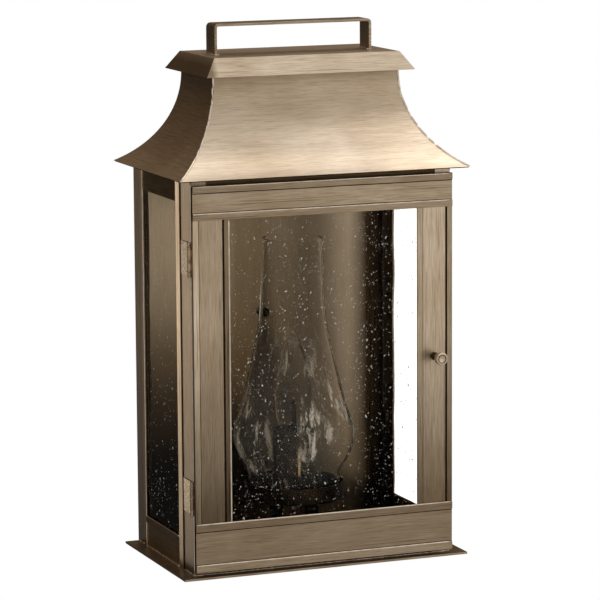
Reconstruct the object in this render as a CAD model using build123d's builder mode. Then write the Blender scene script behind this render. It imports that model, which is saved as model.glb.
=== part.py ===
"""Outdoor wall lantern: a brass sheet body with a flared roof, a hinged glass door and a hurricane lamp.

Frame: +Z up, +X to the right when facing the lantern, -Y out of the wall, millimetres.
The origin is the outlet box's centre on the wall plane. Heights are given above the floor sheet (h)
and depths forward of the back panel's rear face (d); at() and slab() turn them into the frame.
"""
import os
from math import sqrt
from build123d import *

# ---- driving dimensions ----
BODY_W, BODY_D, BODY_H = 254.0, 156.4, 362.0        # box of sheet: width, depth, wall height
BOX_H = 152.0                                       # outlet box centre above the floor sheet
STANDOFF = 14.5                                     # back panel in front of the wall plane
SHEET = 1.0                                         # sheet thickness
HEM = 0.9                                           # a hem stands this proud of its sheet
GLASS = 2.4                                         # window glass thickness
SLIP = 0.05                                         # running clearance round a shaft
HALF = BODY_W / 2

BASE_W, BASE_D, BASE_T = 280.4, 167.6, 2.0
EAVE_W, EAVE_OVER = 283.5, 14.3                     # eave width, overhang in front and behind
EAVE_H = 363.0
FLARE_R, FLARE_IN, FLARE_RISE = 98.5, 50.5, 86.0    # roof arc, its run inward and its height
COLLAR = 3.0                                        # upright strip above the flare
CAP_W, CAP_D, CAP_H, CAP_RISE, CAP_BEVEL = 203.8, 114.5, 451.0, 16.4, 11.0
HANDLE_W, HANDLE_D, HANDLE_T, HANDLE_RISE, HANDLE_BEND = 155.0, 22.2, 2.5, 28.2, 4.0

REAR_FLANGE, FRONT_FLANGE, POST_RETURN = 26.0, 38.0, 15.0
REAR_HEM, FRONT_HEM, RAIL_HEM = 5.5, 11.0, 6.0
SIDE_RAIL_H, SIDE_HEADER_H = 29.0, 23.0

DOOR_BACK, DOOR_FIELD, DOOR_HEM, DOOR_PROUD = 157.6, 161.0, 162.0, 0.8
DOOR_H0, DOOR_H1 = 3.1, 357.1
STILE_W, STILE_HEM = 35.0, 5.4
TOP_RAIL, TOP_HEM, BOTTOM_RAIL, BOTTOM_HEM = 31.0, 6.2, 45.5, 7.3

HINGE_X, HINGE_D, HINGE_R, HINGE_LONG = -128.9, 156.9, 1.75, 30.5
HINGE_HEIGHTS = {"lower": 71.8, "upper": 290.5}
PIN_R = 0.8
KNOB_X, KNOB_H, SPINDLE_R = 109.5, 187.0, 1.5

LAMP_D = 82.0                                       # lamp axis in front of the back panel
GALLERY_H, GALLERY_R = 49.0, 46.5
CHIMNEY_WALL = 2.0
SLOT_SPACING, SLOT_LONG, SLOT_W = 88.9, 12.0, 5.0   # outlet box screws, 3.5 in apart
STUD_SPACING, STUD_R = 120.0, 1.95

os.makedirs("parts", exist_ok=True)


def at(x, d, h):
    """Turn a place given by side, depth and height into the frame."""
    return (x, -STANDOFF - d, h - BOX_H)


def slab(x, d, h, mode=Mode.ADD):
    """A square block from its spans across, forward and up."""
    with Locations(at((x[0] + x[1]) / 2, (d[0] + d[1]) / 2, (h[0] + h[1]) / 2)):
        Box(abs(x[1] - x[0]), d[1] - d[0], h[1] - h[0], mode=mode)


def rod(radius, x, h, d, mode=Mode.ADD):
    """A round bar lying front to back."""
    with Locations(at(x, (d[0] + d[1]) / 2, h)):
        Cylinder(radius, d[1] - d[0], rotation=(90, 0, 0), mode=mode)


def post(radius, x, d, h, mode=Mode.ADD):
    """A round bar standing upright."""
    with Locations(at(x, d, (h[0] + h[1]) / 2)):
        Cylinder(radius, h[1] - h[0], mode=mode)


def save(piece, label):
    piece.part.label = label
    export_step(piece.part, f"parts/{label}.step")


SIDES = {"left": -1, "right": 1}
STUD_HEIGHTS = (BOX_H - STUD_SPACING / 2, BOX_H + STUD_SPACING / 2)

# ---- body: floor, back, posts, rails ----
WEEP_R, WEEP_X, WEEP_D = 2.5, 0.8 * HALF, BODY_D - 12
with BuildPart() as base_plate:
    slab((-BASE_W / 2, BASE_W / 2), (0, BASE_D), (-BASE_T, 0))
    for side in SIDES.values():                     # weep holes
        post(WEEP_R, side * WEEP_X, WEEP_D, (-BASE_T, 0), mode=Mode.SUBTRACT)
save(base_plate, "base_plate")

HANG_H, HANG_R, HANG_LONG = 187.0, 4.0, 19.0        # hanging slot
WIRE_H, WIRE_R = 36.0, 7.0                          # wire bushing hole
STUD_HOLE_R = STUD_R + 0.35
with BuildPart() as back_panel:
    slab((-HALF, HALF), (0, SHEET), (0, BODY_H))
    with BuildSketch(Plane(at(0, 0, HANG_H), x_dir=(0, 0, 1), z_dir=(0, -1, 0))):
        SlotOverall(HANG_LONG, 2 * HANG_R)
    extrude(amount=SHEET, mode=Mode.SUBTRACT)
    rod(WIRE_R, 0, WIRE_H, (0, SHEET), mode=Mode.SUBTRACT)
    for height in STUD_HEIGHTS:
        rod(STUD_HOLE_R, 0, height, (0, SHEET), mode=Mode.SUBTRACT)
save(back_panel, "back_panel")

BUSHING_WALL, BUSHING_FLANGE_T = 2.0, 1.5
with BuildPart() as wire_bushing:
    rod(WIRE_R, 0, WIRE_H, (0, SHEET))
    rod(WIRE_R + BUSHING_WALL, 0, WIRE_H, (SHEET, SHEET + BUSHING_FLANGE_T))
    rod(WIRE_R - BUSHING_WALL, 0, WIRE_H, (0, SHEET + BUSHING_FLANGE_T), mode=Mode.SUBTRACT)
save(wire_bushing, "wire_bushing")

PAN_W, PAN_H0, PAN_H1, PAN_T, PAN_RIM = 115.0, 22.0, 232.0, 1.2, 7.0
with BuildPart() as back_pan:
    pan_x, pan_h = (-PAN_W / 2, PAN_W / 2), (PAN_H0, PAN_H1)
    slab(pan_x, (-STANDOFF, 0), pan_h)
    inner_x, inner_h = (pan_x[0] + PAN_T, pan_x[1] - PAN_T), (PAN_H0 + PAN_T, PAN_H1 - PAN_T)
    slab(inner_x, (-STANDOFF + PAN_T, 0), inner_h, mode=Mode.SUBTRACT)
    mouth_x, mouth_h = (pan_x[0] + PAN_RIM, pan_x[1] - PAN_RIM), (PAN_H0 + PAN_RIM, PAN_H1 - PAN_RIM)
    slab(mouth_x, (-STANDOFF, -STANDOFF + PAN_T), mouth_h, mode=Mode.SUBTRACT)
save(back_pan, "back_pan")

CLIP_T, CLIP_LEG, CLIP_REACH, CLIP_LONG = 0.6, 0.8, 18.0, 12.0     # bent tabs that hold the glass
PANE_LAP = 8.0                                      # glass hidden behind its frame
FRONT_D = BODY_D - FRONT_FLANGE                     # rear edge of the front posts
for name, side in SIDES.items():
    outer, inner = side * HALF, side * (HALF - SHEET)
    wall, proud = (outer, inner), (side * (HALF + HEM), inner)
    post_return = (outer, side * (HALF - POST_RETURN))
    with BuildPart() as rear_post:
        slab(wall, (SHEET, REAR_FLANGE), (0, BODY_H))
        slab(proud, (REAR_FLANGE - REAR_HEM, REAR_FLANGE), (0, BODY_H))
        slab(post_return, (SHEET, 2 * SHEET), (0, BODY_H))
    save(rear_post, f"rear_post_{name}")
    with BuildPart() as front_post:
        slab(wall, (FRONT_D, BODY_D), (0, BODY_H))
        slab(proud, (FRONT_D, FRONT_D + FRONT_HEM), (0, BODY_H))
        slab(post_return, (BODY_D - SHEET, BODY_D), (0, BODY_H))
    save(front_post, f"front_post_{name}")
    with BuildPart() as side_rail:
        slab(wall, (REAR_FLANGE, FRONT_D), (0, SIDE_RAIL_H))
        slab(proud, (REAR_FLANGE, FRONT_D), (SIDE_RAIL_H - RAIL_HEM, SIDE_RAIL_H))
    save(side_rail, f"side_rail_{name}")
    with BuildPart() as side_header:
        slab(wall, (REAR_FLANGE, FRONT_D), (BODY_H - SIDE_HEADER_H, BODY_H))
    save(side_header, f"side_header_{name}")
    back_of_glass = side * (HALF - SHEET - GLASS)
    with BuildPart() as side_glass:
        slab((inner, back_of_glass), (PANE_LAP, BODY_D - PANE_LAP), (PANE_LAP, BODY_H - PANE_LAP - 2 * SHEET))
    save(side_glass, f"side_glass_{name}")
    back_of_clip = back_of_glass - side * CLIP_T
    with BuildPart() as side_clips:                 # one at each corner of the glass
        for low in (CLIP_LONG + 2 * SHEET, BODY_H - CLIP_REACH - CLIP_LONG):
            span = (low, low + CLIP_LONG)
            slab((back_of_glass, back_of_clip), (2 * SHEET, CLIP_REACH), span)
            slab((inner, back_of_clip), (2 * SHEET, 2 * SHEET + CLIP_LEG), span)
            slab((back_of_glass, back_of_clip), (BODY_D - CLIP_REACH, BODY_D - SHEET), span)
            slab((inner, back_of_clip), (BODY_D - SHEET - CLIP_LEG, BODY_D - SHEET), span)
    save(side_clips, f"side_glass_clips_{name}")

CROSS_X, CROSS_D = HALF - POST_RETURN + SHEET, (BODY_D - 2 * SHEET, BODY_D - SHEET)
for label, span in {"front_header": (BODY_H - TOP_RAIL, BODY_H), "front_sill": (0, 30)}.items():
    with BuildPart() as cross_bar:
        slab((-CROSS_X, CROSS_X), CROSS_D, span)
    save(cross_bar, label)

# ---- roof ----
EAVE_DEEP = BODY_D + 2 * EAVE_OVER
MID_D = BODY_D / 2                                  # the roof's middle
DECK_INSET, DECK_LIP = 1.2, 7.0                     # inside the eave, and over the body's walls
with BuildPart() as roof_deck:
    with BuildSketch(Plane(at(0, MID_D, BODY_H))):
        Rectangle(EAVE_W - 2 * DECK_INSET, EAVE_DEEP - 2 * DECK_INSET)
        Rectangle(BODY_W - 2 * DECK_LIP, BODY_D - 2 * DECK_LIP, mode=Mode.SUBTRACT)
    extrude(amount=EAVE_H - BODY_H)
save(roof_deck, "roof_deck")


def roof_panel(out, run):
    """One flared sheet: out points away from the roof's middle, run is its length along the eave."""
    inward = Vector(out) * -1
    along = inward.cross(Vector(0, 0, 1))
    reach = EAVE_DEEP / 2 if out[0] == 0 else EAVE_W / 2
    foot = Vector(*at(0, MID_D, EAVE_H)) + Vector(out) * reach
    centre_in = FLARE_IN - FLARE_R                  # the arcs' centre, level with the collar
    outer_r, inner_r = FLARE_R, FLARE_R + SHEET

    def low(radius):
        return (centre_in + sqrt(radius ** 2 - FLARE_RISE ** 2), 0)

    def diagonal(radius):
        return (centre_in + radius * sqrt(0.5), FLARE_RISE - radius * sqrt(0.5))

    with BuildPart() as panel:
        with BuildSketch(Plane(foot, x_dir=inward, z_dir=along)):
            with BuildLine():
                ThreePointArc(low(outer_r), diagonal(outer_r), (FLARE_IN, FLARE_RISE))
                Polyline((FLARE_IN, FLARE_RISE), (FLARE_IN, FLARE_RISE + COLLAR),
                         (FLARE_IN + SHEET, FLARE_RISE + COLLAR), (FLARE_IN + SHEET, FLARE_RISE))
                ThreePointArc((FLARE_IN + SHEET, FLARE_RISE), diagonal(inner_r), low(inner_r))
                Line(low(inner_r), low(outer_r))
            make_face()
        extrude(amount=run / 2, both=True)
        deep = FLARE_IN + 2 * SHEET                 # mitred at 45 degrees to its neighbours
        with BuildSketch(Plane(foot - Vector(0, 0, 1), x_dir=along, z_dir=(0, 0, 1))):
            with BuildLine():
                Polyline((-run / 2, 0), (run / 2, 0), (run / 2 - deep, deep), (-run / 2 + deep, deep),
                         close=True)
            make_face()
        extrude(amount=FLARE_RISE + 2 * COLLAR, mode=Mode.INTERSECT)
    return panel


for label, out, run in (("roof_front", (0, -1, 0), EAVE_W), ("roof_back", (0, 1, 0), EAVE_W),
                        ("roof_left", (-1, 0, 0), EAVE_DEEP), ("roof_right", (1, 0, 0), EAVE_DEEP)):
    save(roof_panel(out, run), label)

CAP_TOP, CAP_WALL = CAP_H + CAP_RISE, 1.2
with BuildPart() as chimney_cap:
    with BuildSketch(Plane(at(0, MID_D, CAP_H))):
        Rectangle(CAP_W, CAP_D)
    with BuildSketch(Plane(at(0, MID_D, CAP_TOP))):
        Rectangle(CAP_W - 2 * CAP_BEVEL, CAP_D - 2 * CAP_BEVEL)
    loft()
    with BuildSketch(Plane(at(0, MID_D, CAP_H))):
        Rectangle(CAP_W - 2 * CAP_WALL, CAP_D - 2 * CAP_WALL)
    with BuildSketch(Plane(at(0, MID_D, CAP_TOP - SHEET))):
        Rectangle(CAP_W - 2 * CAP_BEVEL - CAP_WALL, CAP_D - 2 * CAP_BEVEL - CAP_WALL)
    loft(mode=Mode.SUBTRACT)
save(chimney_cap, "chimney_cap")

THROAT = EAVE_DEEP / 2 - FLARE_IN - SHEET           # half the roof's open top, front to back
WEB_X, WEB_T, WEB_DROP, WEB_HOLE_R = 60.0, 1.6, 12.0, 9.0
with BuildPart() as cap_webs:                       # two upright plates carry the cap
    for side in SIDES.values():
        x = side * WEB_X
        slab((x - WEB_T / 2, x + WEB_T / 2), (MID_D - THROAT, MID_D + THROAT),
             (CAP_H - WEB_DROP, CAP_TOP - SHEET))
        for half in (-THROAT / 2, THROAT / 2):      # vent notches
            post(WEB_HOLE_R, x, MID_D + half, (CAP_H - WEB_HOLE_R, CAP_H + 6), mode=Mode.SUBTRACT)
save(cap_webs, "cap_webs")

with BuildPart() as carry_handle:
    with BuildSketch(Plane(at(0, MID_D, CAP_TOP), x_dir=(1, 0, 0), z_dir=(0, -1, 0))):
        with Locations((0, HANDLE_RISE / 2)):
            RectangleRounded(HANDLE_W, HANDLE_RISE, HANDLE_BEND)
        with Locations((0, HANDLE_RISE / 4)):
            Rectangle(HANDLE_W, HANDLE_RISE / 2)
        with Locations((0, HANDLE_RISE / 2 - HANDLE_T)):
            RectangleRounded(HANDLE_W - 2 * HANDLE_T, HANDLE_RISE, HANDLE_BEND - HANDLE_T,
                             mode=Mode.SUBTRACT)
        with Locations((0, HANDLE_RISE / 4 - HANDLE_T)):
            Rectangle(HANDLE_W - 2 * HANDLE_T, HANDLE_RISE / 2 + 2 * HANDLE_T, mode=Mode.SUBTRACT)
    extrude(amount=HANDLE_D / 2, both=True)
save(carry_handle, "carry_handle")

# ---- hinges: leaves on the body and on the door, five knuckles, one pin ----
KNUCKLES, KNUCKLE_GAP = 5, 0.3
KNUCKLE = (HINGE_LONG - (KNUCKLES - 1) * KNUCKLE_GAP) / KNUCKLES
BODY_LEAF_T, DOOR_LEAF_T = 0.9, 0.8
BODY_LEAF_D = (BODY_D - 24, BODY_D - 3)
DOOR_LEAF_D = (DOOR_BACK - DOOR_LEAF_T, DOOR_BACK)
PIN_HEAD_R, PIN_HEAD_T = 1.5, 0.8


def body_plate(span):
    slab((-HALF - BODY_LEAF_T, -HALF), BODY_LEAF_D, span)


def door_plate(span):
    slab((-HALF + 0.6, -HALF + POST_RETURN), DOOR_LEAF_D, span)


def body_lug(span):
    slab((-HALF - BODY_LEAF_T, -HALF), (BODY_LEAF_D[1] - 1, HINGE_D), span)


def door_lug(span):
    slab((HINGE_X, -HALF + 1), DOOR_LEAF_D, span)


def hinge_leaf(middle_h, first, plate, lug):
    """Every second knuckle from first, each joined by its lug to the plate."""
    low = middle_h - HINGE_LONG / 2
    with BuildPart() as leaf:
        plate((low, low + HINGE_LONG))
        for n in range(first, KNUCKLES, 2):
            start = low + n * (KNUCKLE + KNUCKLE_GAP)
            post(HINGE_R, HINGE_X, HINGE_D, (start, start + KNUCKLE))
            lug((start, start + KNUCKLE))
        post(PIN_R + SLIP, HINGE_X, HINGE_D, (low, low + HINGE_LONG), mode=Mode.SUBTRACT)
    return leaf


for name, middle in HINGE_HEIGHTS.items():
    save(hinge_leaf(middle, 0, body_plate, body_lug), f"hinge_leaf_body_{name}")
    save(hinge_leaf(middle, 1, door_plate, door_lug), f"hinge_leaf_door_{name}")
    with BuildPart() as hinge_pin:
        low, high = middle - HINGE_LONG / 2, middle + HINGE_LONG / 2
        post(PIN_R, HINGE_X, HINGE_D, (low, high))
        for head in ((low - PIN_HEAD_T, low), (high, high + PIN_HEAD_T)):
            post(PIN_HEAD_R, HINGE_X, HINGE_D, head)
    save(hinge_pin, f"hinge_pin_{name}")

# ---- door ----
RAIL_FIELD, RAIL_FACE = DOOR_FIELD + DOOR_PROUD, DOOR_HEM + DOOR_PROUD
LIP = 160.2                                         # the glass bears against this depth
OPEN_H0, OPEN_H1 = DOOR_H0 + BOTTOM_RAIL, DOOR_H1 - TOP_RAIL


def door_stile(side):
    """A tall channel: recessed field between two hems, an outer wall and a back return."""
    edge, inner = side * HALF, side * (HALF - STILE_W)
    span = (OPEN_H0, OPEN_H1)
    with BuildPart() as stile:
        slab((edge, inner), (LIP, DOOR_FIELD), span)
        slab((edge, edge - side * STILE_HEM), (LIP, DOOR_HEM), span)
        slab((inner, inner + side * STILE_HEM), (LIP, DOOR_HEM), span)
        slab((edge, edge - side * SHEET), (DOOR_BACK, DOOR_HEM), span)
        slab((edge, edge - side * POST_RETURN), (DOOR_BACK, DOOR_BACK + DOOR_LEAF_T), span)
        if side > 0:
            rod(SPINDLE_R + SLIP, KNOB_X, KNOB_H, (DOOR_BACK, RAIL_FACE), mode=Mode.SUBTRACT)
    return stile


def door_rail(low, high, hem, low_back, high_back):
    """A wide open-ended channel with hems along both edges, whose flanges reach back as given."""
    x = (-HALF, HALF)
    with BuildPart() as rail:
        slab(x, (RAIL_FIELD - SHEET, RAIL_FIELD), (low, high))
        slab(x, (RAIL_FIELD - SHEET, RAIL_FACE), (low, low + hem))
        slab(x, (RAIL_FIELD - SHEET, RAIL_FACE), (high - hem, high))
        slab(x, (low_back, RAIL_FACE), (low, low + SHEET))
        slab(x, (high_back, RAIL_FACE), (high - SHEET, high))
    return rail


save(door_stile(-1), "door_stile_left")
save(door_stile(1), "door_stile_right")
save(door_rail(DOOR_H0, OPEN_H0, BOTTOM_HEM, DOOR_BACK, LIP), "door_bottom_rail")
save(door_rail(OPEN_H1, DOOR_H1, TOP_HEM, LIP, DOOR_BACK), "door_top_rail")

PANE_X, PANE_BACK = HALF - STILE_W + PANE_LAP, LIP - GLASS
with BuildPart() as door_glass:
    slab((-PANE_X, PANE_X), (PANE_BACK, LIP), (OPEN_H0 - PANE_LAP, OPEN_H1 + PANE_LAP))
save(door_glass, "door_glass")

CLIP_HEIGHTS = (OPEN_H0 + CLIP_LONG, 140.0, 228.0, OPEN_H1 - 2 * CLIP_LONG)
CLIP_OUT, CLIP_IN = PANE_X + 2.2, PANE_X - 5.0      # outer face of the leg, tip of the tab
with BuildPart() as door_glass_clips:               # eight tabs behind the glass edge
    for side in SIDES.values():
        for low in CLIP_HEIGHTS:
            span = (low, low + CLIP_LONG)
            slab((side * CLIP_IN, side * CLIP_OUT), (PANE_BACK - CLIP_T, PANE_BACK), span)
            slab((side * (CLIP_OUT - CLIP_LEG), side * CLIP_OUT), (PANE_BACK - CLIP_T, LIP), span)
save(door_glass_clips, "door_glass_clips")

# ---- knob and latch ----
BUSH_R, BUSH_D = 4.0, (DOOR_BACK + 0.9, LIP)
with BuildPart() as latch_bushing:
    rod(BUSH_R, KNOB_X, KNOB_H, BUSH_D)
    rod(SPINDLE_R + SLIP, KNOB_X, KNOB_H, BUSH_D, mode=Mode.SUBTRACT)
save(latch_bushing, "latch_bushing")

TONGUE_D = (BODY_D - 3.0, BODY_D - 1.8)
TONGUE_LONG, TONGUE_R, TONGUE_BOSS = 14.0, 2.0, 1.5
SPINDLE_END = DOOR_HEM + 6
with BuildPart() as latch_spindle:
    rod(SPINDLE_R, KNOB_X, KNOB_H, (TONGUE_D[0], SPINDLE_END))
save(latch_spindle, "latch_spindle")

with BuildPart() as latch_tongue:
    boss_d = (TONGUE_D[0], TONGUE_D[1] + TONGUE_BOSS)
    slab((KNOB_X - TONGUE_R, KNOB_X + TONGUE_R), TONGUE_D, (KNOB_H - TONGUE_LONG, KNOB_H))
    rod(TONGUE_R, KNOB_X, KNOB_H, boss_d)
    rod(SPINDLE_R, KNOB_X, KNOB_H, boss_d, mode=Mode.SUBTRACT)
save(latch_tongue, "latch_tongue")

KNOB_FOOT, KNOB_FACE = DOOR_HEM + 0.3, DOOR_HEM + 17.5
FOOT_R, NECK_R, HEAD_R = 3.6, 2.4, 6.1
with BuildPart() as door_knob:                      # turned knob with a dished face
    with BuildSketch(Plane(at(KNOB_X, 0, KNOB_H), x_dir=(1, 0, 0), z_dir=(0, 0, 1))):
        with BuildLine():
            Polyline((SPINDLE_R, -KNOB_FOOT), (FOOT_R, -KNOB_FOOT), (FOOT_R, -KNOB_FOOT - 1.5),
                     (NECK_R, -KNOB_FOOT - 3.0), (NECK_R, -KNOB_FOOT - 9.0), (4.9, -KNOB_FOOT - 10.8),
                     (HEAD_R, -KNOB_FOOT - 12.6), (HEAD_R, -KNOB_FACE + 1.4), (5.0, -KNOB_FACE),
                     (4.0, -KNOB_FACE), (2.4, -KNOB_FACE + 1.1), (0, -KNOB_FACE + 1.3),
                     (0, -SPINDLE_END), (SPINDLE_R, -SPINDLE_END), close=True)
        make_face()
    revolve(axis=Axis(at(KNOB_X, 0, KNOB_H), (0, 1, 0)))
save(door_knob, "door_knob")

# ---- lamp: bracket, nipple, gallery, socket, bulb, chimney ----
STRAP_T, STRAP_HALF, HAT_X, HAT_FOOT_X = 1.5, 15.0, 18.5, 34.0
STRAP_D = (LAMP_D - STRAP_HALF, LAMP_D + STRAP_HALF)
LEG_H = GALLERY_H - STRAP_T
NIPPLE_R, NIPPLE_BORE_R, NIPPLE_H = 5.0, 3.6, (36.0, 56.0)
with BuildPart() as lamp_bracket:                   # strap bent into a hat, standing on the floor
    for side in SIDES.values():
        leg = side * (HAT_X - STRAP_T)
        slab((leg, side * HAT_X), STRAP_D, (0, LEG_H))
        slab((leg, side * HAT_FOOT_X), STRAP_D, (0, STRAP_T))
    slab((-HAT_X, HAT_X), STRAP_D, (LEG_H, GALLERY_H))
    post(NIPPLE_R + 0.2, 0, LAMP_D, (LEG_H, GALLERY_H), mode=Mode.SUBTRACT)
save(lamp_bracket, "lamp_bracket")

with BuildPart() as lamp_nipple:
    post(NIPPLE_R, 0, LAMP_D, NIPPLE_H)
    post(NIPPLE_BORE_R, 0, LAMP_D, NIPPLE_H, mode=Mode.SUBTRACT)
save(lamp_nipple, "lamp_nipple")

NUT_R, NUT_T = 8.5, 4.0
with BuildPart() as lamp_nuts:
    for low in (LEG_H - NUT_T, GALLERY_H + 2 * STRAP_T):
        with BuildSketch(Plane(at(0, LAMP_D, low))):
            RegularPolygon(NUT_R, 6)
            Circle(NIPPLE_R + SLIP, mode=Mode.SUBTRACT)
        extrude(amount=NUT_T)
save(lamp_nuts, "lamp_nuts")

RIM_H, GALLERY_T, AIR_HOLES, AIR_RING_R, AIR_R = 64.0, 1.2, 12, 33.0, 3.5
CUP_FLOOR = GALLERY_H + STRAP_T
with BuildPart() as chimney_gallery:
    post(GALLERY_R, 0, LAMP_D, (GALLERY_H, RIM_H))
    post(GALLERY_R - GALLERY_T, 0, LAMP_D, (CUP_FLOOR, RIM_H), mode=Mode.SUBTRACT)
    post(NIPPLE_R + 0.2, 0, LAMP_D, (GALLERY_H, RIM_H), mode=Mode.SUBTRACT)
    with Locations(at(0, LAMP_D, GALLERY_H)):       # air holes round the floor of the gallery
        with PolarLocations(AIR_RING_R, AIR_HOLES):
            Cylinder(AIR_R, 4 * STRAP_T, mode=Mode.SUBTRACT)
save(chimney_gallery, "chimney_gallery")

SOCKET_R, SOCKET_T, SOCKET_H1 = 20.0, 1.2, 113.0
WINDOW_X, WINDOW_H = (-3.2, 3.2), (67, 94)          # slots through the shell, front and back
with BuildPart() as socket_shell:
    post(SOCKET_R, 0, LAMP_D, (CUP_FLOOR, SOCKET_H1))
    post(SOCKET_R - SOCKET_T, 0, LAMP_D, (CUP_FLOOR + STRAP_T, SOCKET_H1), mode=Mode.SUBTRACT)
    post(NIPPLE_R + 0.2, 0, LAMP_D, (GALLERY_H, SOCKET_H1), mode=Mode.SUBTRACT)
    slab(WINDOW_X, (LAMP_D - SOCKET_R - 5, LAMP_D + SOCKET_R + 5), WINDOW_H, mode=Mode.SUBTRACT)
save(socket_shell, "socket_shell")

MOULD_H0, COLLAR_H, SLEEVE_H = 56.0, 60.0, 70.0     # heights up the lampholder
SLEEVE_R, SLEEVE_T, SLEEVE_H1 = 15.0, 0.8, 106.0
with BuildPart() as socket_insulator:               # dark moulded base of the lampholder
    post(SLEEVE_R, 0, LAMP_D, (COLLAR_H, SLEEVE_H))
    post(SLEEVE_R + 1.2, 0, LAMP_D, (MOULD_H0, COLLAR_H))
    post(12, 0, LAMP_D, (MOULD_H0, SLEEVE_H - 3), mode=Mode.SUBTRACT)
    slab((-22, 22), (LAMP_D - 2.5, LAMP_D + 2.5), (MOULD_H0, COLLAR_H))
    post(SOCKET_R - SOCKET_T, 0, LAMP_D, (CUP_FLOOR, SLEEVE_H + 5), mode=Mode.INTERSECT)
save(socket_insulator, "socket_insulator")

CONTACT_R, CONTACT_H1 = 4.0, SLEEVE_H + 2
with BuildPart() as screw_shell:                    # threaded sleeve of the lampholder
    post(SLEEVE_R, 0, LAMP_D, (SLEEVE_H, SLEEVE_H1))
    post(SLEEVE_R - SLEEVE_T, 0, LAMP_D, (SLEEVE_H + SLEEVE_T, SLEEVE_H1), mode=Mode.SUBTRACT)
    post(CONTACT_R + 2, 0, LAMP_D, (SLEEVE_H, SLEEVE_H + 1), mode=Mode.SUBTRACT)
save(screw_shell, "screw_shell")

with BuildPart() as centre_contact:
    post(CONTACT_R, 0, LAMP_D, (SLEEVE_H, CONTACT_H1))
save(centre_contact, "centre_contact")

BULB_H0, BULB_NECK_H, BULB_TIP_H, BULB_CAP_R = 75.0, 101.0, 211.0, 13.2
with BuildPart() as bulb_base:
    post(BULB_CAP_R, 0, LAMP_D, (BULB_H0, BULB_NECK_H))
    post(CONTACT_R + 0.5, 0, LAMP_D, (CONTACT_H1, BULB_H0))
save(bulb_base, "bulb_base")

UPRIGHT = Plane(at(0, LAMP_D, 0), x_dir=(1, 0, 0), z_dir=(0, -1, 0))     # through the lamp's axis
LAMP_AXIS = Axis(at(0, LAMP_D, 0), (0, 0, 1))
with BuildPart() as bulb_glass:                     # clear flame-shaped bulb, modelled solid
    with BuildSketch(UPRIGHT):
        with BuildLine():
            neck = Line((0, BULB_NECK_H), (12.6, BULB_NECK_H))
            Spline(neck @ 1, (14.5, 116), (17.5, 142), (12.5, 176), (5.0, 200), (0, BULB_TIP_H),
                   tangents=((0, 1), (-1, 0.25)))
            Line((0, BULB_TIP_H), (0, BULB_NECK_H))
        make_face()
    revolve(axis=LAMP_AXIS)
save(bulb_glass, "bulb_glass")

CHIMNEY_H0, CHIMNEY_H1 = CUP_FLOOR, 294.0
OUTER = ((44.0, 72.0), (58.0, 106.0), (48.0, 146.0), (38.5, 186.0), (31.5, 225.0), (29.0, CHIMNEY_H1))
with BuildPart() as glass_chimney:                  # straight fitter, bulb, long tapering neck
    for wall, mode in ((0, Mode.ADD), (CHIMNEY_WALL, Mode.SUBTRACT)):
        with BuildSketch(UPRIGHT):
            with BuildLine():
                bulge = [(radius - wall, high) for radius, high in OUTER]
                Polyline(bulge[-1], (0, CHIMNEY_H1), (0, CHIMNEY_H0), (bulge[0][0], CHIMNEY_H0), bulge[0])
                Spline(*bulge, tangents=((0.5, 1), (0, 1)))
            make_face()
        revolve(axis=LAMP_AXIS, mode=mode)
save(glass_chimney, "glass_chimney")

# ---- mounting hardware ----
BAR_LONG, BAR_W, BAR_T, BAR_HOLE_R = 140.0, 20.0, 2.0, 6.0
GROUND_UP = 20.0                                    # ground screw above the bar's middle
BAR_D = (-STANDOFF, -STANDOFF + BAR_T)
with BuildPart() as mounting_crossbar:
    slab((-BAR_W / 2, BAR_W / 2), BAR_D, (BOX_H - BAR_LONG / 2, BOX_H + BAR_LONG / 2))
    with BuildSketch(Plane((0, 0, 0), x_dir=(0, 0, 1), z_dir=(0, -1, 0))):
        with Locations((-SLOT_SPACING / 2, 0), (SLOT_SPACING / 2, 0)):
            SlotOverall(SLOT_LONG, SLOT_W)
        with Locations((-STUD_SPACING / 2, 0), (STUD_SPACING / 2, 0), (GROUND_UP, 0)):
            Circle(STUD_R + SLIP)
        Circle(BAR_HOLE_R)
    extrude(amount=BAR_T, mode=Mode.SUBTRACT)
save(mounting_crossbar, "mounting_crossbar")

STUD_BACK, STUD_NUT_R, STUD_NUT_T = -STANDOFF + 0.2, STUD_R + 1.6, 2.0
CAP_NUT_R, CAP_NUT_LONG, CAP_NUT_ROUND = 4.4, 6.0, 1.0
with BuildPart() as mounting_studs:
    for height in STUD_HEIGHTS:
        rod(STUD_R, 0, height, (STUD_BACK, SHEET + CAP_NUT_LONG - 1.5))
        rod(STUD_NUT_R, 0, height, (BAR_D[1], BAR_D[1] + STUD_NUT_T))
save(mounting_studs, "mounting_studs")

with BuildPart() as cap_nuts:
    for height in STUD_HEIGHTS:
        rod(CAP_NUT_R, 0, height, (SHEET, SHEET + CAP_NUT_LONG))
        rod(STUD_R + SLIP, 0, height, (SHEET, SHEET + CAP_NUT_LONG - 1.4), mode=Mode.SUBTRACT)
    fillet(cap_nuts.edges().filter_by(GeomType.CIRCLE).group_by(Axis.Y)[0], CAP_NUT_ROUND)
save(cap_nuts, "cap_nuts")

GROUND_HEAD_R, GROUND_HEAD_T = 3.6, 2.2
with BuildPart() as ground_screw:
    rod(STUD_R, 0, BOX_H + GROUND_UP, (STUD_BACK, BAR_D[1]))
    rod(GROUND_HEAD_R, 0, BOX_H + GROUND_UP, (BAR_D[1], BAR_D[1] + GROUND_HEAD_T))
save(ground_screw, "ground_screw")
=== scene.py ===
import math
import random

import bmesh
import bpy
from mathutils import Matrix, Vector, noise


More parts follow.
